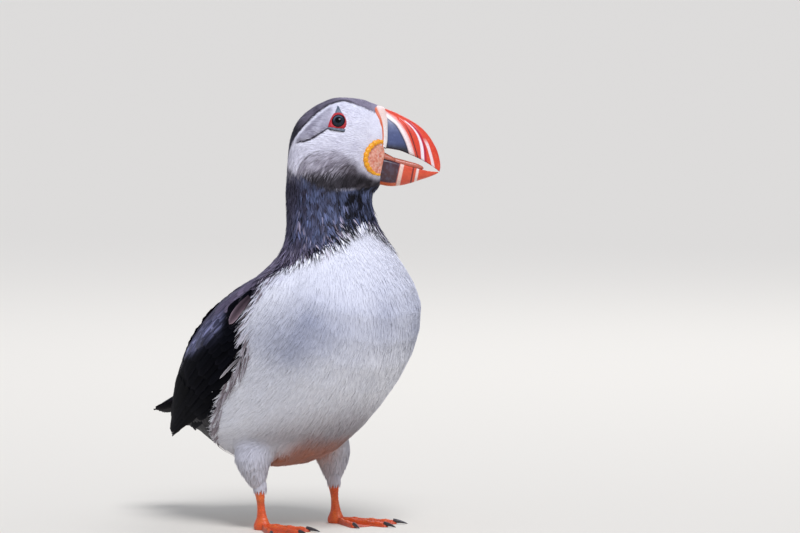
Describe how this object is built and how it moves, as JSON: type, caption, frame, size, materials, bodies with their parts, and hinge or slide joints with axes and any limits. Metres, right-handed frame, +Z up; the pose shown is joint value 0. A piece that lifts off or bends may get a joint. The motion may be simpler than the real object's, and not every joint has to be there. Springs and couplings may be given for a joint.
{
  "type": "atlantic puffin",
  "caption": "Still, life-size puffin standing upright on webbed feet, head turned aside, tall grooved bill slightly open, wings folded.",
  "frame": {"origin": "centre of the bounding box's base, at floor level between the feet and under the body", "axes": "+Z up; -Y the way the breast faces; +X the bird's left. The head is turned 45 degrees to the bird's left, so the bill points towards +X and -Y"},
  "size_m": [0.1158, 0.1938, 0.2501],
  "materials": {
    "plumage_white": "soft matte feathers, white with a lilac-grey shade",
    "plumage_black": "sleek feathers, black with a brown to bluish gloss",
    "plumage_grey": "very short dense feathers, pale grey face under a dark crown",
    "bill_horn": "satin horn: slate base, cream ridge, grooved orange-red outer part",
    "cere_horn": "finely pitted cream horn",
    "leg_skin": "scaly orange-red skin with webs",
    "rosette_skin": "wrinkled yellow-orange skin",
    "tongue_skin": "moist pink skin",
    "eye": "wet, dark, glossy",
    "eye_plate_horn": "blue-grey horn",
    "claw_horn": "black polished horn"
  },
  "bodies": {
    "root": {"bill_cere": "cere_horn", "bill_lower": "bill_horn", "bill_upper": "bill_horn", "claw_left_inner": "claw_horn", "claw_left_middle": "claw_horn", "claw_left_outer": "claw_horn", "claw_right_inner": "claw_horn", "claw_right_middle": "claw_horn", "claw_right_outer": "claw_horn", "eye_left": "eye", "eye_plate_lower_left": "eye_plate_horn", "eye_plate_lower_right": "eye_plate_horn", "eye_plate_upper_left": "eye_plate_horn", "eye_plate_upper_right": "eye_plate_horn", "eye_right": "eye", "foot_left": "leg_skin", "foot_right": "leg_skin", "head": "plumage_grey", "leg_left": "plumage_white", "leg_right": "plumage_white", "neck": "plumage_black", "rosette_left": "rosette_skin", "rosette_right": "rosette_skin", "tail": "plumage_black", "tarsus_left": "leg_skin", "tarsus_right": "leg_skin", "tongue": "tongue_skin", "trunk": "plumage_white", "wing_left": "plumage_black", "wing_right": "plumage_black"}
  },
  "joints": []
}
